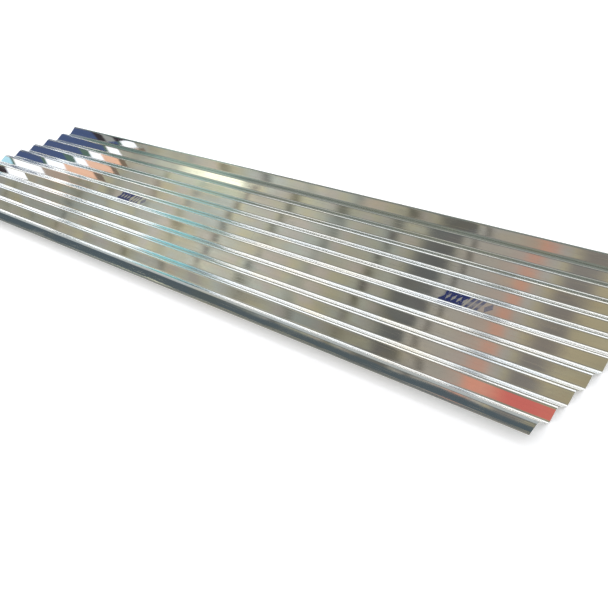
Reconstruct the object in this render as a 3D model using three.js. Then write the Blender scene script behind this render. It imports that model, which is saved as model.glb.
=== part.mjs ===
// A roll-formed corrugated roofing sheet of galvanised steel.
//
// Millimetres, +Z up. The corrugations run along X, the waves follow one another along Y,
// and the undersides of the troughs lie on Z = 0. The origin is under the middle of the sheet.

import * as THREE from 'three';

// Driving dimensions.
const sheetLength = 3048;
const pitch = 76.2;
const depth = 18;
const metalThickness = 0.5;
const insideBendRadius = 14;

// Bends across the sheet, counted in half waves: the -Y side edge lies in the bottom of a
// trough and the +Y side edge on the top of a crest, so that neighbouring sheets can lap.
const halfWaveCount = 21;

// Corners that approximate one bend. An even number leaves a level flat on its crown.
const cornersPerBend = 8;

const halfPitch = pitch / 2;
const sheetWidth = halfWaveCount * halfPitch;

// The middle of the metal rises by this much from trough to crest.
const rise = depth - metalThickness;

// The bends are as tight as the rolls make them, up to arcs that meet with no flank between.
const meetingArcsRadius = (halfPitch ** 2 + rise ** 2) / (4 * rise);
const bendRadius = Math.min(insideBendRadius + metalThickness / 2, meetingArcsRadius);

// The straight flank touches a trough bend and the crest bend beside it. The centre of the
// crest bend lies centreDrop below the centre of the trough bend.
const centreDrop = 2 * bendRadius - rise;
const flankSlope = Math.asin(Math.min(1, (2 * bendRadius) / Math.hypot(halfPitch, centreDrop)))
  - Math.atan2(centreDrop, halfPitch);

// One bend of one face of the metal, from its -Y flank to its +Y flank. The face lies at
// the given offset above the middle of the metal. The flats between the corners touch the
// true arc, so the crown is at its full height and the flanks leave without a kink.
function bendCorners(bendIndex, faceOffset) {
  const up = bendIndex % 2 === 0 ? -1 : 1;
  const centreY = bendIndex * halfPitch - sheetWidth / 2;
  const centreZ = depth / 2 + up * (rise / 2 - bendRadius);
  const faceRadius = bendRadius + up * faceOffset;
  const cornerRadius = faceRadius / Math.cos(flankSlope / cornersPerBend);
  const corners = [];
  for (let corner = 0; corner < cornersPerBend; corner += 1) {
    const angle = flankSlope * ((2 * corner + 1) / cornersPerBend - 1);
    corners.push(new THREE.Vector2(
      centreY + cornerRadius * Math.sin(angle),
      centreZ + up * cornerRadius * Math.cos(angle),
    ));
  }
  const crown = new THREE.Vector2(centreY, centreZ + up * faceRadius);
  const inner = cornersPerBend / 2;
  if (bendIndex === 0) {
    return [crown, ...corners.slice(inner)];
  }
  if (bendIndex === halfWaveCount) {
    return [...corners.slice(0, inner), crown];
  }
  return corners;
}

// One face of the metal across the whole sheet, from the -Y side edge to the +Y side edge.
function waveLine(faceOffset) {
  const line = [];
  for (let bend = 0; bend <= halfWaveCount; bend += 1) {
    line.push(...bendCorners(bend, faceOffset));
  }
  return line;
}

// The section: the lower face out, the upper face back, closed at both sheared side edges.
function sheetSection() {
  const lowerFace = waveLine(-metalThickness / 2);
  const upperFace = waveLine(metalThickness / 2);
  return new THREE.Shape([...lowerFace, ...upperFace.reverse()]);
}

// The sheet: the section drawn along X and sheared square at both ends.
function corrugatedSheet() {
  const geometry = new THREE.ExtrudeGeometry(sheetSection(), {
    depth: sheetLength,
    bevelEnabled: false,
  });
  const material = new THREE.MeshStandardMaterial({
    name: 'galvanised_steel',
    color: 0x9e9a88,
    roughness: 0.28,
    metalness: 1,
  });
  const sheet = new THREE.Mesh(geometry, material);
  sheet.name = 'corrugated_sheet';
  // The section's own x and y become Y and Z, and the drawing direction becomes X.
  sheet.rotation.set(Math.PI / 2, Math.PI / 2, 0);
  sheet.position.x = -sheetLength / 2;
  return sheet;
}

const model = new THREE.Group();
model.add(corrugatedSheet());

export default model;
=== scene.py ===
import math
import bpy
import numpy as np
from mathutils import Matrix, Vector


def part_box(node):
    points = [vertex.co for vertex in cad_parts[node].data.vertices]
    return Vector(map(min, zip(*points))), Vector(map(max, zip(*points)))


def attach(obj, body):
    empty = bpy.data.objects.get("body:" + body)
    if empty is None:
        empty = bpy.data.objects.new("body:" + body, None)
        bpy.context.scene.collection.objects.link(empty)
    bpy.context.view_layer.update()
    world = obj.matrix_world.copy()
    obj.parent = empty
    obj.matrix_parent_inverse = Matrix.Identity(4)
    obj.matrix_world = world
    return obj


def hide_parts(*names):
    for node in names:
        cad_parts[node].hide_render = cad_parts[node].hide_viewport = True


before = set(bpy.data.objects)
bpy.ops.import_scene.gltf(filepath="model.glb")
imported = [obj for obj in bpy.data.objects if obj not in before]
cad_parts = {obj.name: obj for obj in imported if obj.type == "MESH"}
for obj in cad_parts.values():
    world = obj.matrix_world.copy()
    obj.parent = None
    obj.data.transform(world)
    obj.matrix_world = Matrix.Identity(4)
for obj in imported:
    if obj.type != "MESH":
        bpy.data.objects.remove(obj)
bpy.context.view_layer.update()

# The dressed model of one roll-formed corrugated roofing sheet of galvanised steel. It lies flat
# on a studio floor with its corrugations along X. Lengths are in metres.

MM = 0.001
SHEET = "corrugated_sheet"
BODY = "root"

# The rolled section, from the frame's own box and the sheet's counted waves.
LOW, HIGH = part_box(SHEET)
WIDTH = HIGH.y - LOW.y
DEPTH = HIGH.z - LOW.z
HALF_WAVES = 21
HALF_PITCH = WIDTH / HALF_WAVES
METAL = 0.5 * MM
INSIDE_BEND_RADIUS = 14 * MM
RISE = DEPTH - METAL
MEETING_ARCS_RADIUS = (HALF_PITCH ** 2 + RISE ** 2) / (4 * RISE)
BEND_RADIUS = min(INSIDE_BEND_RADIUS + METAL / 2, MEETING_ARCS_RADIUS)
CENTRE_DROP = 2 * BEND_RADIUS - RISE
FLANK_SLOPE = (math.asin(2 * BEND_RADIUS / math.hypot(HALF_PITCH, CENTRE_DROP))
               - math.atan2(CENTRE_DROP, HALF_PITCH))

# How finely the visible sheet is divided.
BEND_STEPS = 10
LENGTH_STEPS = 160
HALF_BEND_WIDTH = BEND_RADIUS * math.sin(FLANK_SLOPE)
BEND_TO_GUARD = 0.8 * MM
FLANK_GUARD = HALF_PITCH / 2 - HALF_BEND_WIDTH - BEND_TO_GUARD

# How the handled sheet lies: the bends by its side edges have sprung up, each list from the edge
# inwards, the lip of the -Y edge has straightened, and the middle stands in a low hump. The hump
# is whole at the +X end, and loses a share of its height, its fade, over each half of the length.
NEAR_BEND_LIFTS = (19.7 * MM, 9.4 * MM, 0, 2.2 * MM)
FAR_BEND_LIFTS = (9.4 * MM, 2.7 * MM)
NEAR_LIP_DROP = 2.0 * MM
NEAR_LIP_WIDTH = 8 * MM
HUMP_HEIGHT = 4 * MM
HUMP_FADE = 0.3
HUMP_HALF_WIDTH = 150 * MM
HUMP_MIDDLE = -20 * MM

# Shallow ripples that rolling and handling leave in thin metal.
RIPPLE_COUNT = 12
RIPPLE_HEIGHT = 0.04 * MM
RIPPLE_LENGTH = (160 * MM, 620 * MM)
RIPPLE_SKEW = (-5.0, 5.0)
RANDOM_SEED = 7

# The ink marks on the middle flank, as the mill repeats them along the sheet.
MARK_LENGTH = 172 * MM
MARK_HEIGHT = 32 * MM
MARK_MIDDLE = 1078 * MM
MARK_SPACING = 1569 * MM
MARK_SLANT = 0.10

# The camera, and the frame it is composed for.
CAMERA_PLACE = Vector((2.390, -1.713, 1.261))
CAMERA_TURN = math.radians(-49.19)
CAMERA_DIP = math.radians(29.02)
CAMERA_ROLL = math.radians(-9.26)
FOCAL_PIXELS = 905
FRAME_PIXELS = 608
SENSOR_WIDTH_MM = 36
NEAREST_SEEN = 0.05
FURTHEST_SEEN = 200


# ---------------------------------------------------------------- shader expressions

class Value:
    """A shader socket that can stand in ordinary arithmetic."""

    def __init__(self, finish, socket):
        self.finish = finish
        self.socket = socket

    def math(self, operation, *others):
        sockets = {0: self}
        for place, other in enumerate(others, start=1):
            sockets[place] = other
        return self.finish.node("ShaderNodeMath", {"operation": operation}, sockets)

    def __add__(self, other):
        return self.math("ADD", other)

    __radd__ = __add__

    def __mul__(self, other):
        return self.math("MULTIPLY", other)

    __rmul__ = __mul__

    def __sub__(self, other):
        return self.math("SUBTRACT", other)

    def __rsub__(self, other):
        return self.finish.node("ShaderNodeMath", {"operation": "SUBTRACT"}, {0: other, 1: self})

    def __truediv__(self, other):
        return self.math("DIVIDE", other)

    def __abs__(self):
        return self.math("ABSOLUTE")


class Finish:
    """A material or world whose nodes are made one call at a time."""

    def __init__(self, owner):
        self.owner = owner
        owner.use_nodes = True
        self.tree = owner.node_tree
        self.tree.nodes.clear()

    def node(self, kind, settings=None, sockets=None, out=0):
        """Adds a node, sets it up, feeds its sockets and gives the output that is asked for."""
        made = self.tree.nodes.new(kind)
        for name, value in (settings or {}).items():
            setattr(made, name, value)
        for name, value in (sockets or {}).items():
            if isinstance(value, Value):
                self.tree.links.new(value.socket, made.inputs[name])
            else:
                made.inputs[name].default_value = value
        if not made.outputs:
            return None
        return Value(self, made.outputs[out])

    def smooth(self, value, start, end):
        """0 at start and beyond, 1 at end and beyond, and a soft step between."""
        settings = {"interpolation_type": "SMOOTHSTEP"}
        return self.node("ShaderNodeMapRange", settings,
                         {"Value": value, "From Min": start, "From Max": end})

    def span(self, value, rise, fall):
        """1 from the end of the rise to the start of the fall, and 0 before and after them."""
        return self.smooth(value, *rise) * (1 - self.smooth(value, *fall))

    def band(self, value, start, end, softness):
        """1 between start and end, and 0 outside, with edges of that softness."""
        return self.span(value, around(start, softness), around(end, softness))

    def mix(self, share, first, second):
        """The first colour, turned into the second by that share."""
        settings = {"data_type": "RGBA", "clamp_factor": True}
        # A Mix node has its two colours on inputs 6 and 7, and the mixed one on output 2.
        return self.node("ShaderNodeMix", settings, {0: share, 6: first, 7: second}, out=2)

    def stretched(self, vector, factors):
        return self.node("ShaderNodeVectorMath", {"operation": "MULTIPLY"},
                         {0: vector, 1: factors})

    def parts(self, vector):
        """The X, Y and Z of a vector."""
        return [self.node("ShaderNodeSeparateXYZ", None, {0: vector}, out=axis)
                for axis in range(3)]

    def noise(self, vector, scale, detail, roughness=0.5):
        return self.node("ShaderNodeTexNoise", None,
                         {"Vector": vector, "Scale": scale, "Detail": detail,
                          "Roughness": roughness})

    def grain(self, place, repeats, detail):
        """Noise that is drawn out: its repeats in a metre are given along X, Y and Z."""
        return self.noise(self.stretched(place, repeats), scale=1.0, detail=detail)

    def patches(self, place, repeats, detail, edges):
        """Soft patches, which come in where such a grain rises over the range of their edges."""
        return self.smooth(self.grain(place, repeats, detail), *edges)


def new_material(name):
    return Finish(bpy.data.materials.new(name))


def grey(level):
    return (level, level, level, 1)


def around(middle, half):
    return middle - half, middle + half


# ---------------------------------------------------------------- the sheet's shape

def bend_places():
    """Where the crown of each bend lies across the sheet, troughs and crests in turn."""
    return LOW.y + HALF_PITCH * np.arange(HALF_WAVES + 1)


def section_stations():
    """Place across, height and slope of the metal's middle, from the -Y side edge to the +Y one.

    Two points on each flank, close to its bends, keep its straight part flat in the shading.
    """
    across, height, slope = [], [], []
    for bend, middle in enumerate(bend_places()):
        crest = bend % 2 == 1
        turns = np.linspace(-FLANK_SLOPE, FLANK_SLOPE, BEND_STEPS + 1)
        if bend == 0:
            turns = turns[BEND_STEPS // 2:]
        if bend == HALF_WAVES:
            turns = turns[:BEND_STEPS // 2 + 1]
        dip = BEND_RADIUS * (1 - np.cos(turns))
        across.extend(middle + BEND_RADIUS * np.sin(turns))
        height.extend(DEPTH - METAL / 2 - dip if crest else METAL / 2 + dip)
        slope.extend(-turns if crest else turns)
        if bend < HALF_WAVES:
            fall = -FLANK_SLOPE if crest else FLANK_SLOPE
            for side in (-FLANK_GUARD, FLANK_GUARD):
                across.append(middle + HALF_PITCH / 2 + side)
                height.append(DEPTH / 2 + side * math.tan(fall))
                slope.append(fall)
    return np.array(across), np.array(height), np.array(slope)


def lie(along, across):
    """Height of the sheet's lie above a flat one, for every place along and across it."""
    bends = bend_places()
    curls = np.zeros(len(bends))
    curls[:len(NEAR_BEND_LIFTS)] = NEAR_BEND_LIFTS
    curls[-len(FAR_BEND_LIFTS):] = FAR_BEND_LIFTS[::-1]
    reach = np.clip(np.abs(bends - HUMP_MIDDLE) / HUMP_HALF_WIDTH, 0, 1)
    hump = HUMP_HEIGHT * (1 - reach ** 2) ** 2
    fade = 1 - HUMP_FADE * (1 - along / HIGH.x)
    lip = np.clip((LOW.y + NEAR_LIP_WIDTH - across) / NEAR_LIP_WIDTH, 0, 1) ** 2
    still = opened_bends(curls, across) - NEAR_LIP_DROP * lip
    return still[None, :] + fade[:, None] * opened_bends(hump, across)[None, :]


def opened_bends(lifts, across):
    """Lift across the sheet once its bends have opened to these heights: its flanks stay flat."""
    bends = bend_places()
    flank_ends = np.stack([bends[:-1] + HALF_BEND_WIDTH, bends[1:] - HALF_BEND_WIDTH], axis=-1)
    tilt = np.interp(across, flank_ends.ravel(), np.repeat(np.diff(lifts) / HALF_PITCH, 2))
    rise = (tilt[1:] + tilt[:-1]) / 2 * np.diff(across)
    return lifts[0] + np.concatenate([[0], np.cumsum(rise)])


def ripples(along, across):
    random = np.random.default_rng(RANDOM_SEED)
    field = np.zeros((len(along), len(across)))
    for _ in range(RIPPLE_COUNT):
        waves_along = 1 / random.uniform(*RIPPLE_LENGTH)
        waves_across = random.uniform(*RIPPLE_SKEW)
        turns = waves_along * along[:, None] + waves_across * across[None, :] + random.uniform()
        field += RIPPLE_HEIGHT * np.sin(2 * math.pi * turns)
    return field


def skin_points(side, along, across, height, slope, lift):
    """The points of the metal's face that lies that far from its middle, on a grid."""
    points = np.empty((len(along), len(across), 3))
    points[:, :, 0] = along[:, None]
    points[:, :, 1] = across - side * np.sin(slope)
    points[:, :, 2] = height + side * np.cos(slope) + lift
    return points


def build_sheet():
    across, height, slope = section_stations()
    along = np.linspace(LOW.x, HIGH.x, LENGTH_STEPS + 1)
    lift = lie(along, across) + ripples(along, across)
    skins = np.stack([skin_points(side, along, across, height, slope, lift)
                      for side in (METAL / 2, -METAL / 2)])
    skins[..., 2] -= skins[..., 2].min()
    top, bottom = np.arange(skins.size // 3).reshape(skins.shape[:3])
    skin_quads = np.concatenate([grid_quads(top), grid_quads(bottom)[:, ::-1]])
    rim_quads = np.concatenate([
        strip_quads(bottom[0], top[0]),
        strip_quads(top[-1], bottom[-1]),
        strip_quads(top[:, 0], bottom[:, 0]),
        strip_quads(bottom[:, -1], top[:, -1]),
    ])
    quads = np.concatenate([skin_quads, rim_quads])
    smooth = np.arange(len(quads)) < len(skin_quads)

    mesh = bpy.data.meshes.new("roofing_sheet")
    mesh.from_pydata(skins.reshape(-1, 3).tolist(), [], quads.tolist())
    mesh.polygons.foreach_set("use_smooth", smooth)
    mesh.polygons.foreach_set("material_index", (~smooth).astype(np.int32))
    mesh.update()
    keep_rim_crisp(mesh, smooth)
    mesh.materials.append(galvanised_steel())
    mesh.materials.append(sheared_edge())
    sheet = bpy.data.objects.new("roofing_sheet", mesh)
    bpy.context.collection.objects.link(sheet)
    return sheet


def keep_rim_crisp(mesh, smooth):
    """Marks the edges where the skins meet the cut rim, so that they shade as corners."""
    edges = np.empty(len(mesh.loops), dtype=np.int32)
    mesh.loops.foreach_get("edge_index", edges)
    sharp = np.zeros(len(mesh.edges), dtype=bool)
    sharp[edges.reshape(-1, 4)[~smooth].ravel()] = True
    mesh.attributes.new("sharp_edge", "BOOLEAN", "EDGE").data.foreach_set("value", sharp)


def grid_quads(index):
    """Quads over a grid of point numbers, seen with the first axis to +X and the second to +Y."""
    return np.stack([index[:-1, :-1], index[1:, :-1], index[1:, 1:], index[:-1, 1:]],
                    axis=-1).reshape(-1, 4)


def strip_quads(first, second):
    """Quads between two lines of point numbers."""
    return np.stack([first[:-1], first[1:], second[1:], second[:-1]], axis=-1)


# ---------------------------------------------------------------- finishes

STEEL_COLOUR = (0.62, 0.61, 0.57, 1)
COOL_ZINC = (0.59, 0.61, 0.60, 1)
WARM_ZINC = (0.66, 0.62, 0.51, 1)
DULL_ZINC = (0.52, 0.52, 0.50, 1)
INK_COLOUR = (0.006, 0.022, 0.15, 1)
TORN_STEEL = (0.30, 0.30, 0.29, 1)
BURNISHED_STEEL = (0.56, 0.56, 0.54, 1)
GRIME_COLOUR = (0.20, 0.14, 0.10, 1)

# Each grain: its repeats in a metre along X, Y and Z, and its detail.
STREAK_GRAIN = ((0.7, 95.0, 95.0), 3.0)
TEAR_GRAIN = ((700.0, 700.0, 2500.0), 3.0)

# Each kind of patch: its grain, and the range of noise over which it comes in.
CLOUDS = ((2.4, 6.0, 6.0), 3.0, (0.40, 0.62))
DRIFTS = ((5.2, 14.3, 14.3), 2.0, (0.52, 0.72))
SCRATCHES = ((5.0, 620.0, 620.0), 1.0, (0.66, 0.74))
RUBS = ((9.0, 60.0, 1.0), 3.0, (0.50, 0.70))
SMUDGES = ((6.4, 20.8, 20.8), 5.0, (0.56, 0.74))
GRIME = ((45.0, 45.0, 45.0), 3.0, (0.55, 0.75))
STREAK_EDGES = (0.45, 0.75)
TEAR_EDGES = (0.42, 0.60)
SPANGLE_SIZE = 7 * MM
SPANGLE_STRETCH = (0.8, 1.0, 1.0)

# How far each trait turns the colour.
DRIFT_TINT = 0.7
SPANGLE_TINT = 0.16
STREAK_TINT = 0.3
SMUDGE_TINT = 0.35
GRIME_TINT = 0.5

# How rough the bare zinc is, and what each trait adds to that.
ZINC_ROUGHNESS = 0.028
SPANGLE_ROUGHNESS = 0.02
STREAK_ROUGHNESS = 0.012
SMUDGE_ROUGHNESS = 0.06
RUB_ROUGHNESS = 0.06
SCRATCH_ROUGHNESS = 0.05
BEND_ROUGHNESS = 0.09
INK_ROUGHNESS = 0.22
INK_COVER = 0.92

# The relief of the zinc, and the share of each trait in it.
ZINC_RELIEF = 0.02 * MM
STREAK_RELIEF = 0.5
SCRATCH_RELIEF = 0.35
SPANGLE_RELIEF = 0.12

# Where a wave counts as crest, by its cosine, and as bend, by the size of its sine.
CREST_COSINES = (-0.90, -0.99)
BEND_SINES = (0.58, 0.40)

RIM_ROUGHNESS = 0.28
TEAR_ROUGHNESS = 0.25
TEAR_RELIEF = 0.05 * MM


def galvanised_steel():
    """Bright zinc: cloudy tints, faint spangle, rolling streaks, rubbed crests and ink marks."""
    f = new_material("galvanised_steel")
    place = f.node("ShaderNodeTexCoord", None, None, out="Object")
    along, across = f.parts(place)[:2]
    crystals = f.node("ShaderNodeTexVoronoi", None,
                      {"Vector": f.stretched(place, SPANGLE_STRETCH), "Scale": 1 / SPANGLE_SIZE},
                      out="Color")
    spangle = f.node("ShaderNodeSeparateColor", None, {0: crystals})
    streaks = f.grain(place, *STREAK_GRAIN)
    scratch = f.patches(place, *SCRATCHES)
    smudge = f.patches(place, *SMUDGES)
    wave = (across - LOW.y) * (math.pi / HALF_PITCH)
    rub = f.smooth(wave.math("COSINE"), *CREST_COSINES) * f.patches(place, *RUBS)
    bend = f.smooth(abs(wave.math("SINE")), *BEND_SINES)
    ink = ink_marks(f, place, along, across)

    colour = f.mix(f.patches(place, *CLOUDS), COOL_ZINC, STEEL_COLOUR)
    colour = f.mix(f.patches(place, *DRIFTS) * DRIFT_TINT, colour, WARM_ZINC)
    colour = f.mix(spangle * SPANGLE_TINT, colour, DULL_ZINC)
    colour = f.mix(f.smooth(streaks, *STREAK_EDGES) * STREAK_TINT, colour, DULL_ZINC)
    colour = f.mix(smudge * SMUDGE_TINT, colour, DULL_ZINC)
    colour = f.mix(ink, colour, INK_COLOUR)

    roughness = (ZINC_ROUGHNESS + SPANGLE_ROUGHNESS * spangle + STREAK_ROUGHNESS * streaks
                 + SMUDGE_ROUGHNESS * smudge + RUB_ROUGHNESS * rub + SCRATCH_ROUGHNESS * scratch
                 + BEND_ROUGHNESS * bend + INK_ROUGHNESS * ink)
    relief = STREAK_RELIEF * streaks - SCRATCH_RELIEF * scratch + SPANGLE_RELIEF * spangle
    return metal(f, colour, 1 - INK_COVER * ink, roughness, ZINC_RELIEF, relief)


def metal(f, colour, metallic, roughness, depth, relief):
    """Finishes a metal with that relief, which is as deep as the depth where it stands at 1."""
    bump = f.node("ShaderNodeBump", None, {"Strength": 1.0, "Distance": depth, "Height": relief})
    shader = f.node("ShaderNodeBsdfPrincipled", None,
                    {"Base Color": colour, "Metallic": metallic, "Roughness": roughness,
                     "Normal": bump})
    f.node("ShaderNodeOutputMaterial", None, {"Surface": shader})
    return f.owner


# The ink mark. Its places are in halves of its length and height, from its middle, and each pair
# of edges runs the way in which the ink comes in.
MARK_RIM = (0.98, 0.88)
PANEL = (-1.0, -0.06)
PANEL_EDGE = 0.02
BARE_CELLS = 4.6
BARE_EDGES = (0.66, 0.52)
BARE_WEAR = 0.8
BARS = (0.02, 0.58)
BAR_COUNT = 5.4
BAR_FILL = (0.14, 0.84)
BAR_EDGE = 0.06
BAR_DIP_PLACE = -0.1
BAR_DIP_EDGES = (0.5, 0.1)
BAR_DIP = 0.45
LOZENGE_PLACE = 0.78
LOZENGE_NARROWNESS = 5.5
LOZENGE_EDGES = (0.92, 0.78)
LOZENGE_INK = 0.8
WEAR_SCALE = 160.0
WEAR_EDGES = (0.24, 0.44)
FAINT_FROM = (-0.1, 0.3)
FAINTNESS = 0.26
BETWEEN_MARKS = (0.20, 0.21)


def ink_marks(f, place, along, across):
    """Two blue roller marks: a bold panel with bare lozenges, slanted bars and a lozenge."""
    second = f.smooth(along, *BETWEEN_MARKS)
    slide = along - (MARK_MIDDLE - MARK_SPACING) - MARK_SPACING * second
    v = across / (MARK_HEIGHT / 2)
    u = slide / (MARK_LENGTH / 2) - MARK_SLANT * v
    within = f.smooth(abs(v), *MARK_RIM)

    cell = abs((u * BARE_CELLS).math("FRACT") - 0.5) * 2
    bare = f.smooth(cell + abs(v), *BARE_EDGES)
    panel = f.band(u, *PANEL, PANEL_EDGE) * (1 - BARE_WEAR * bare)
    bars = f.band((u * BAR_COUNT).math("FRACT"), *BAR_FILL, BAR_EDGE)
    bars = bars * f.band(u, *BARS, PANEL_EDGE)
    bars = bars * (1 - BAR_DIP * f.smooth(abs(v - BAR_DIP_PLACE), *BAR_DIP_EDGES))
    lozenge = f.smooth(abs(u - LOZENGE_PLACE) * LOZENGE_NARROWNESS + abs(v), *LOZENGE_EDGES)

    shapes = panel.math("MAXIMUM", bars).math("MAXIMUM", lozenge * LOZENGE_INK)
    wear = f.noise(place, WEAR_SCALE, detail=4.0, roughness=0.65)
    fade = f.smooth(wear, *WEAR_EDGES) * (1 - FAINTNESS * f.smooth(u, *FAINT_FROM))
    return shapes * within * fade


def sheared_edge():
    """The cut rim: burnished where the blade entered and torn and darker beneath."""
    f = new_material("sheared_edge")
    place = f.node("ShaderNodeTexCoord", None, None, out="Object")
    tear = f.grain(place, *TEAR_GRAIN)
    colour = f.mix(f.smooth(tear, *TEAR_EDGES), TORN_STEEL, BURNISHED_STEEL)
    colour = f.mix(f.patches(place, *GRIME) * GRIME_TINT, colour, GRIME_COLOUR)
    return metal(f, colour, 1.0, RIM_ROUGHNESS + TEAR_ROUGHNESS * tear, TEAR_RELIEF, tear)


# ---------------------------------------------------------------- the studio

WORLD_LEVEL = 0.7
FLOOR_COLOUR = (0.88, 0.88, 0.88, 1)
FLOOR_GLOW = 0.3
FAR_FLOOR_GLOW = 0.42
FAR_FLOOR = (3.0, 9.0)
FLOOR_SIZE = 60

# The soft ceiling that the flanks mirror. Its rows are given across the room, and all else along
# it. A patch has its repeats in a metre and its detail, and a strip its middle, half width,
# softness and share.
CEILING_HEIGHT = 4.0
CEILING_ALONG = (-9.8, 9.8)
CEILING_ACROSS = (-4.5, 2.9)
MIDDLE_ROWS = (-1.8, 1.0)
NEAR_ROW = (-1.8, -1.15)
PANEL_LEVEL = 0.49
PANEL_PATCHES = ((1.1, 1.0), (2.6, 2.0))
UNEVENNESS = 0.40
PALEST_PANELS = (-6.2, -3.2)
PALEST_PANELS_GAIN = 0.31
PAST_BEAM = (-1.8, -1.6)
PAST_BEAM_GAIN = 0.06
FIRST_JOIST = -2.45
JOIST_SPACING = 0.65
JOIST_HALF_WIDTH = 0.13
WITHOUT_JOISTS = (-2.25, 0.3)
JOIST_SHADE = 0.31
NEARER_JOISTS = (-5.6, -4.4)
NEARER_JOISTS_SHADE = 0.16
PATCHY_EDGES = (0.40, 0.58)
PATCHY_SHADES = (0.42, 1.28)
PALE_SLAT = (-0.66, 0.12, 0.07)
DARK_STRIPS = ((-1.62, 0.035, 0.03, 0.50), (*PALE_SLAT, 0.42))
NEAR_ROW_DIM = (-6.2, -2.2)
NEAR_ROW_SHADE = 0.24
CORNER_ACROSS = (-1.6, -2.0)
CORNER_ALONG = (-6.4, -3.8)
CORNER_SHADE = 0.40
TINT_EDGES = (0.38, 0.62)
GREENISH = (0.945, 0.99, 0.90, 1)
YELLOWISH = (1.02, 0.965, 0.70, 1)
BLUSH_EDGES = (0.46, 0.66)
BLUSH_SHARE = 0.75
BLUSH = (1.03, 0.925, 0.87, 1)
CREAM_FROM = (-1.85, -1.65)
CREAM = (1, 0.936, 0.845, 1)
STRAW_FROM = (-0.92, -0.80)
STRAW = (1.05, 0.926, 0.634, 1)
ROSE = (1.05, 0.946, 0.862, 1)
BEAM_EDGES = ((-2.20, -2.04), (-1.81, -1.72))
BEAM_SHARES = (0.71, 0.84)
BEAM_COLOUR = (0.13, 0.133, 0.141, 1)
WARM_STRIPS = ((-1.14, 0.18, 0.10, 0.13), (-1.08, 0.075, 0.06, 0.48))
WARM_COLOUR = (0.9, 0.394, 0.264, 1)
SALMON_ALONG = (-1.12, 0.6)
SALMON_SHARE = 0.85
RED_FROM = (-1.0, -0.7)
SALMON_SIDE = (1, 0.433, 0.317, 1)
RED_SIDE = (0.98, 0.217, 0.194, 1)
SLATE_ROW = (0.36, 0.95)
SLATE_GAP = (0.545, 0.625)
SLATE_GAP_FROM = (-4.0, -2.4)
SLATE = (0.13, 0.167, 0.194, 1)
PALE_ROWS_FROM = (1.3, 1.8)
PALE_PANELS = (0.85, 0.84, 0.8, 1)
LAMP_EDGES = ((-6.1, -5.0), (-4.50, -4.38))
LAMP_ROW = (0.13, 0.32)
LAMP_LIGHT = (2.1, 2.069, 1.628, 1)
LAMP_HALO_ROW = (-0.02, 0.36)
LAMP_HALO_SHARE = 0.35
LAMP_HALO = (0.95, 1.103, 0.81, 1)

# The bright side that the crests mirror, with paler blinds at the slopes that level flanks see.
WALL_ALONG = (-20, 6)
WALL_ACROSS = 6.0
WALL_LIGHT = (2.5, 2.54, 2.70, 1)
BLIND_LIGHT = (0.74, 0.77, 0.80, 1)
BLIND_SLOPES = (0.52, 0.76)
BLIND_SOFTNESS = 0.015
FAR_WALL_START = (-12.0, 2.2)
FAR_WALL_END = (-4.6, 2.2)
FAR_WALL_LIGHT = (2.4, 2.45, 2.55, 1)

# The curtains by the bright side. Each has its name, its place along the room at the height of
# its middle, its rake and its light.
CURTAIN_ACROSS = 1.8
CURTAIN_TOP = 3.9
CURTAIN_MIDDLE = 1.9
CURTAINS = (
    ("teal_curtain", (-3.70, -3.08), 0.8, (0.42, 0.98, 1.08, 1)),
    ("slate_curtain", (-3.08, -2.74), 0.8, (0.36, 0.49, 0.53, 1)),
    ("far_curtain", (-4.98, -4.66), 0.8, (0.26, 0.41, 0.50, 1)),
    ("near_curtain", (-0.45, -0.29), 0.42, (0.70, 0.76, 0.86, 1)),
)

# The dim bench by the +Y edge. It is clear above its height, which drops and steps up along it.
BENCH_ALONG = (-3.2, 1.8)
BENCH_ACROSS = 0.415
BENCH_REACH = 0.46
BENCH_HEIGHT = 0.30
BENCH_SOFTNESS = 0.02
BENCH_COLOUR = (0.21, 0.31, 0.29, 1)
NEARER_BENCH = (-0.55, -0.20)
NEARER_BENCH_COLOUR = (0.31, 0.34, 0.30, 1)
NEARER_BENCH_DROP = 0.075
LIGHTER_BENCH = (-0.95, -0.38)
LIGHTER_BENCH_SOFTNESS = 0.12
LIGHTER_BENCH_COLOUR = (0.46, 0.62, 0.54, 1)
PAST_BENCH = (-1.45, -1.55)
PAST_BENCH_COLOUR = (0.32, 0.38, 0.48, 1)
PAST_BENCH_DROP = 0.12
BENCH_STEPS = ((-1.82, -1.92), (-2.08, -2.18))
BENCH_STEP = 0.12

# The low board that the crest by the -Y edge mirrors.
LIP_BOARD_ALONG = (-1.75, 1.53)
LIP_BOARD_ACROSS = LOW.y + 1.7 * HALF_PITCH
LIP_BOARD_HEIGHTS = (20 * MM, 120 * MM)
LIP_BOARD_LIGHT = (0.64, 0.68, 0.70, 1)

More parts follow.
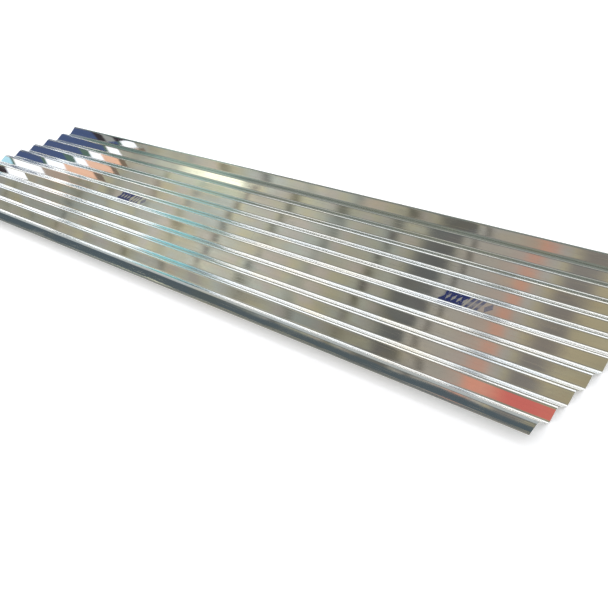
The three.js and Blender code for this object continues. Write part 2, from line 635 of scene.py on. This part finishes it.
# Cards of banded goods past the -X end: the span of each across the room, its height, and for
# each of its bands the height where it starts and its light.
GOODS_PLACE = -1.6
GOODS_TURN = math.radians(30)
GOODS_SOFTNESS = 8 * MM
NAVY = (0.11, 0.158, 0.334, 1)
SKY = (0.75, 1.231, 1.496, 1)
GREEN = (0.16, 0.256, 0.22, 1)
BRIGHT = (1.7, 1.75, 1.9, 1)
SALMON = (1.3, 0.808, 0.598, 1)
BROWN = (0.6, 0.492, 0.422, 1)
UMBER = (0.3, 0.236, 0.194, 1)
BLACK = (0.07, 0.059, 0.07, 1)
STONE = (0.50, 0.52, 0.52, 1)
GOODS = (
    ((-0.125, -0.085), 0.245, ((0, BLACK), (0.153, BRIGHT))),
    ((-0.050, 0.012), 0.400, ((0, SKY), (0.105, GREEN), (0.120, BRIGHT), (0.265, BROWN))),
    ((0.035, 0.092), 0.535, ((0, NAVY), (0.188, GREEN), (0.210, BRIGHT), (0.314, SALMON),
                             (0.486, UMBER))),
    ((0.100, 0.172), 0.545, ((0, NAVY), (0.241, GREEN), (0.295, BRIGHT), (0.360, SALMON),
                             (0.508, UMBER))),
    ((0.188, 0.248), 0.525, ((0, NAVY), (0.253, GREEN), (0.306, BRIGHT), (0.381, SALMON),
                             (0.482, UMBER))),
    ((0.270, 0.312), 0.422, ((0, NAVY), (0.327, GREEN), (0.346, BRIGHT))),
    ((0.313, 0.380), 0.478, ((0, NAVY), (0.180, BLACK), (0.222, STONE), (0.272, BLACK))),
)


def stage_mesh(name, corners, surface):
    mesh = bpy.data.meshes.new(name)
    mesh.from_pydata(corners, [], [tuple(range(len(corners)))])
    made = bpy.data.objects.new(name, mesh)
    bpy.context.collection.objects.link(made)
    mesh.materials.append(surface)
    return made


def level_plane(name, along, across, height, surface):
    (x0, x1), (y0, y1) = along, across
    corners = [(x0, y0, height), (x1, y0, height), (x1, y1, height), (x0, y1, height)]
    return stage_mesh(name, corners, surface)


def upright_plane(name, start, end, heights, surface):
    """A plane that stands over the line from start to end."""
    low, high = heights
    corners = [(*start, low), (*end, low), (*end, high), (*start, high)]
    return stage_mesh(name, corners, surface)


def mirrored_only(made, lights_floor=False):
    """Keeps a studio piece out of the render, so that only the metal mirrors it.

    It still lights the floor where that is asked for.
    """
    made.visible_camera = False
    made.visible_diffuse = lights_floor
    made.visible_shadow = False
    made.visible_transmission = False


def own_light(f, colour):
    """A shader that has a light of its own colour and no sheen."""
    return f.node("ShaderNodeBsdfPrincipled", None,
                  {"Base Color": grey(0), "Roughness": 1.0, "Specular IOR Level": 0.0,
                   "Emission Color": colour, "Emission Strength": 1.0})


def glow(f, colour):
    """Gives a studio surface a light of its own colour."""
    f.node("ShaderNodeOutputMaterial", None, {"Surface": own_light(f, colour)})
    return f.owner


def clear_where(f, colour, share):
    """Gives a studio surface a light of its own colour, and makes it clear by that share."""
    clear = f.node("ShaderNodeBsdfTransparent", None, {"Color": grey(1)})
    both = f.node("ShaderNodeMixShader", None, {0: share, 1: own_light(f, colour), 2: clear})
    f.node("ShaderNodeOutputMaterial", None, {"Surface": both})
    return f.owner


def place_in_room(f):
    """The room's X, Y and Z at a point of a studio surface."""
    return f.parts(f.node("ShaderNodeNewGeometry", None, None, out="Position"))


def backfacing(f):
    return f.node("ShaderNodeNewGeometry", None, None, out="Backfacing")


def between(lowest, highest, share):
    return lowest + (highest - lowest) * share


def strips(f, x, rows):
    """The sum of soft strips across the ceiling."""
    return sum(share * f.band(x, *around(middle, half), softness)
               for middle, half, softness, share in rows)


def ceiling_level(f, x, y, plan, middle, patchy):
    """How bright the ceiling is: uneven panels, joists over its middle, and dim far parts."""
    level = PANEL_LEVEL + PALEST_PANELS_GAIN * f.band(x, *PALEST_PANELS, softness=1.2)
    for scale, detail in PANEL_PATCHES:
        level = level * (1 + UNEVENNESS * (f.noise(plan, scale, detail) - 0.5))
    level = level + PAST_BEAM_GAIN * f.smooth(x, *PAST_BEAM)

    beat = abs(((x - FIRST_JOIST) / JOIST_SPACING + 0.5).math("FRACT") - 0.5) * JOIST_SPACING
    joist = f.smooth(beat, JOIST_HALF_WIDTH, 0) * (1 - f.band(x, *WITHOUT_JOISTS, softness=0.1))
    shade = JOIST_SHADE + NEARER_JOISTS_SHADE * f.smooth(x, *NEARER_JOISTS)
    level = level * (1 - shade * between(*PATCHY_SHADES, patchy) * joist * middle)
    level = level * (1 - strips(f, x, DARK_STRIPS) * middle)

    near_row = f.band(y, *NEAR_ROW, softness=0.04) * f.band(x, *NEAR_ROW_DIM, softness=0.4)
    corner = f.smooth(y, *CORNER_ACROSS) * f.band(x, *CORNER_ALONG, softness=0.4)
    return level * (1 - NEAR_ROW_SHADE * near_row) * (1 - CORNER_SHADE * corner)


def ceiling_tint(f, x, plan):
    """Greenish and yellowish panels with some blush, in warmer tints past the beam."""
    mottle = f.smooth(f.noise(plan, scale=1.7, detail=4.0), *TINT_EDGES)
    blush = f.smooth(f.noise(plan, scale=3.3, detail=2.0), *BLUSH_EDGES)
    tint = f.mix(mottle, GREENISH, YELLOWISH)
    tint = f.mix(blush * BLUSH_SHARE, tint, BLUSH)
    tint = f.mix(f.smooth(x, *CREAM_FROM), tint, CREAM)
    tint = f.mix(f.smooth(x, *STRAW_FROM), tint, STRAW)
    place, half, softness = PALE_SLAT
    return f.mix(f.band(x, *around(place, half), softness), tint, ROSE)


def soft_ceiling():
    """Tinted panels, and what hangs from them: a beam, warm things, a slate edge and a lamp."""
    f = new_material("soft_ceiling")
    x, y = place_in_room(f)[:2]
    plan = f.node("ShaderNodeCombineXYZ", None, {0: x, 1: y})
    middle = f.band(y, *MIDDLE_ROWS, softness=0.1)
    patchy = f.smooth(f.noise(plan, scale=2.0, detail=1.0), *PATCHY_EDGES)
    level = ceiling_level(f, x, y, plan, middle, patchy)
    colour = f.mix(level, grey(0), ceiling_tint(f, x, plan))

    beam = between(*BEAM_SHARES, patchy) * f.span(x, *BEAM_EDGES)
    colour = f.mix(beam * middle, colour, BEAM_COLOUR)
    colour = f.mix(strips(f, x, WARM_STRIPS) * middle, colour, WARM_COLOUR)
    salmon = f.band(x, *SALMON_ALONG, softness=0.05) * f.band(y, *NEAR_ROW, softness=0.05)
    red = f.mix(f.smooth(x, *RED_FROM), SALMON_SIDE, RED_SIDE)
    colour = f.mix(salmon * SALMON_SHARE, colour, red)

    gap = f.band(y, *SLATE_GAP, softness=0.012) * f.smooth(x, *SLATE_GAP_FROM)
    colour = f.mix(f.band(y, *SLATE_ROW, softness=0.015) * (1 - gap), colour, SLATE)
    colour = f.mix(f.smooth(y, *PALE_ROWS_FROM), colour, PALE_PANELS)
    tail = f.span(x, *LAMP_EDGES)
    halo = LAMP_HALO_SHARE * tail * f.band(y, *LAMP_HALO_ROW, softness=0.05)
    colour = f.mix(halo, colour, LAMP_HALO)
    lamp = tail * tail * f.band(y, *LAMP_ROW, softness=0.02)
    return glow(f, f.mix(lamp, colour, LAMP_LIGHT))


def bright_side():
    """A bright wall and panels with paler blinds at the slopes that the level flanks mirror."""
    f = new_material("bright_side")
    y, z = place_in_room(f)[1:]
    blinds = f.band(z / y, *BLIND_SLOPES, BLIND_SOFTNESS)
    return glow(f, f.mix(blinds, WALL_LIGHT, BLIND_LIGHT))


def curtain(name, along, rake, colour):
    """A curtain by the bright side, raked so that its edges stand upright in the crests."""
    (x0, x1), surface = along, glow(new_material(name), colour)
    corners = []
    for x, z in ((x0, 0), (x1, 0), (x1, CURTAIN_TOP), (x0, CURTAIN_TOP)):
        corners.append((x - rake * (z - CURTAIN_MIDDLE), CURTAIN_ACROSS, z))
    mirrored_only(stage_mesh(name, corners, surface))


def dim_bench():
    """A dim bench with a soft top edge.

    It is low along the nearer half, lighter past the middle, and navy beyond the far end, where
    it first drops and then steps up.
    """
    f = new_material("dim_bench")
    x, z = place_in_room(f)[::2]
    nearer = f.smooth(x, *NEARER_BENCH)
    lighter = f.band(x, *LIGHTER_BENCH, LIGHTER_BENCH_SOFTNESS)
    past = f.smooth(x, *PAST_BENCH)
    steps = sum(f.smooth(x, *step) for step in BENCH_STEPS)
    colour = f.mix(nearer, BENCH_COLOUR, NEARER_BENCH_COLOUR)
    colour = f.mix(lighter, colour, LIGHTER_BENCH_COLOUR)
    colour = f.mix(past, colour, PAST_BENCH_COLOUR)
    edge = BENCH_HEIGHT - NEARER_BENCH_DROP * nearer - PAST_BENCH_DROP * past + BENCH_STEP * steps
    return clear_where(f, colour, f.smooth(z - edge, -BENCH_SOFTNESS, BENCH_SOFTNESS))


def lip_board():
    """A low pale board that only the crest by the -Y edge mirrors."""
    f = new_material("lip_board")
    clear_where(f, LIP_BOARD_LIGHT, backfacing(f))
    ends = [(x, LIP_BOARD_ACROSS) for x in LIP_BOARD_ALONG]
    mirrored_only(upright_plane("lip_board", *ends, LIP_BOARD_HEIGHTS, f.owner))


def goods_card(number, across, height, bands):
    """A card of banded goods beyond the -X end. Only the flank level with it mirrors it.

    From behind, the card is clear, so the crests mirror the bright side past it.
    """
    name = f"goods_{number}"
    f = new_material(name)
    z = place_in_room(f)[2]
    colour = grey(0)
    for start, band_colour in bands:
        colour = f.mix(f.smooth(z, *around(start, GOODS_SOFTNESS)), colour, band_colour)
    clear_where(f, colour, backfacing(f))
    middle = sum(across) / 2
    ends = [(GOODS_PLACE - (y - middle) / math.tan(GOODS_TURN), y) for y in across]
    mirrored_only(upright_plane(name, *ends, (0, height), f.owner))


def build_room():
    """What the metal mirrors: a ceiling with joists, a bright side, and dim things close by."""
    mirrored_only(level_plane("ceiling", CEILING_ALONG, CEILING_ACROSS, CEILING_HEIGHT,
                              soft_ceiling()))
    light = bright_side()
    wall_ends = [(x, WALL_ACROSS) for x in WALL_ALONG]
    mirrored_only(upright_plane("bright_wall", *wall_ends, (0, CEILING_HEIGHT), light),
                  lights_floor=True)
    mirrored_only(level_plane("bright_panels", WALL_ALONG, (CEILING_ACROSS[1], WALL_ACROSS),
                              CEILING_HEIGHT, light), lights_floor=True)
    far_light = glow(new_material("far_bright_side"), FAR_WALL_LIGHT)
    mirrored_only(upright_plane("far_bright_wall", FAR_WALL_START, FAR_WALL_END,
                                (0, CEILING_HEIGHT), far_light))
    bench_ends = [(x, BENCH_ACROSS) for x in BENCH_ALONG]
    mirrored_only(upright_plane("bench", *bench_ends, (0, BENCH_REACH), dim_bench()))
    for one in CURTAINS:
        curtain(*one)
    lip_board()
    for number, card in enumerate(GOODS):
        goods_card(number, *card)


def seen(f):
    """1 where the render shows a surface directly, mirrored or through glass."""
    rays = [f.node("ShaderNodeLightPath", None, None, out=name)
            for name in ("Is Camera Ray", "Is Glossy Ray", "Is Transmission Ray")]
    return rays[0] + rays[1] + rays[2]


def build_world():
    world = bpy.data.worlds.new("studio")
    bpy.context.scene.world = world
    f = Finish(world)
    f.node("ShaderNodeOutputWorld", None, {
        "Surface": f.node("ShaderNodeBackground", None, {
            "Color": grey(1), "Strength": WORLD_LEVEL + (1 - WORLD_LEVEL) * seen(f)})})


def build_floor():
    """A pale floor. Where the render shows it, it glows a little, and more so far out."""
    f = new_material("floor")
    paint = f.node("ShaderNodeBsdfDiffuse", None, {"Color": FLOOR_COLOUR})
    x, y = place_in_room(f)[:2]
    far = f.smooth((x * x + y * y).math("SQRT"), *FAR_FLOOR)
    shown = seen(f)
    near_glow, far_glow = [
        f.node("ShaderNodeEmission", None, {"Color": grey(1), "Strength": level * shown})
        for level in (FLOOR_GLOW, FAR_FLOOR_GLOW)]
    glows = f.node("ShaderNodeMixShader", None, {0: far, 1: near_glow, 2: far_glow})
    both = f.node("ShaderNodeAddShader", None, {0: paint, 1: glows})
    f.node("ShaderNodeOutputMaterial", None, {"Surface": both})
    extent = around(0, FLOOR_SIZE / 2)
    level_plane("floor", extent, extent, 0, f.owner)


def build_camera():
    forward = Vector((math.sin(CAMERA_TURN) * math.cos(CAMERA_DIP),
                      math.cos(CAMERA_TURN) * math.cos(CAMERA_DIP),
                      -math.sin(CAMERA_DIP)))
    level = forward.cross(Vector((0, 0, 1))).normalized()
    upright = level.cross(forward)
    right = math.cos(CAMERA_ROLL) * level + math.sin(CAMERA_ROLL) * upright
    up = right.cross(forward)
    data = bpy.data.cameras.new("camera")
    data.sensor_width = SENSOR_WIDTH_MM
    data.lens = FOCAL_PIXELS / FRAME_PIXELS * SENSOR_WIDTH_MM
    data.clip_start = NEAREST_SEEN
    data.clip_end = FURTHEST_SEEN
    camera = bpy.data.objects.new("camera", data)
    bpy.context.collection.objects.link(camera)
    turn = Matrix((right, up, -forward)).transposed().to_4x4()
    camera.matrix_world = Matrix.Translation(CAMERA_PLACE) @ turn
    bpy.context.scene.camera = camera


sheet = build_sheet()
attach(sheet, BODY)
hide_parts(SHEET)
build_world()
build_floor()
build_room()
build_camera()
bpy.context.scene.view_settings.view_transform = "Standard"
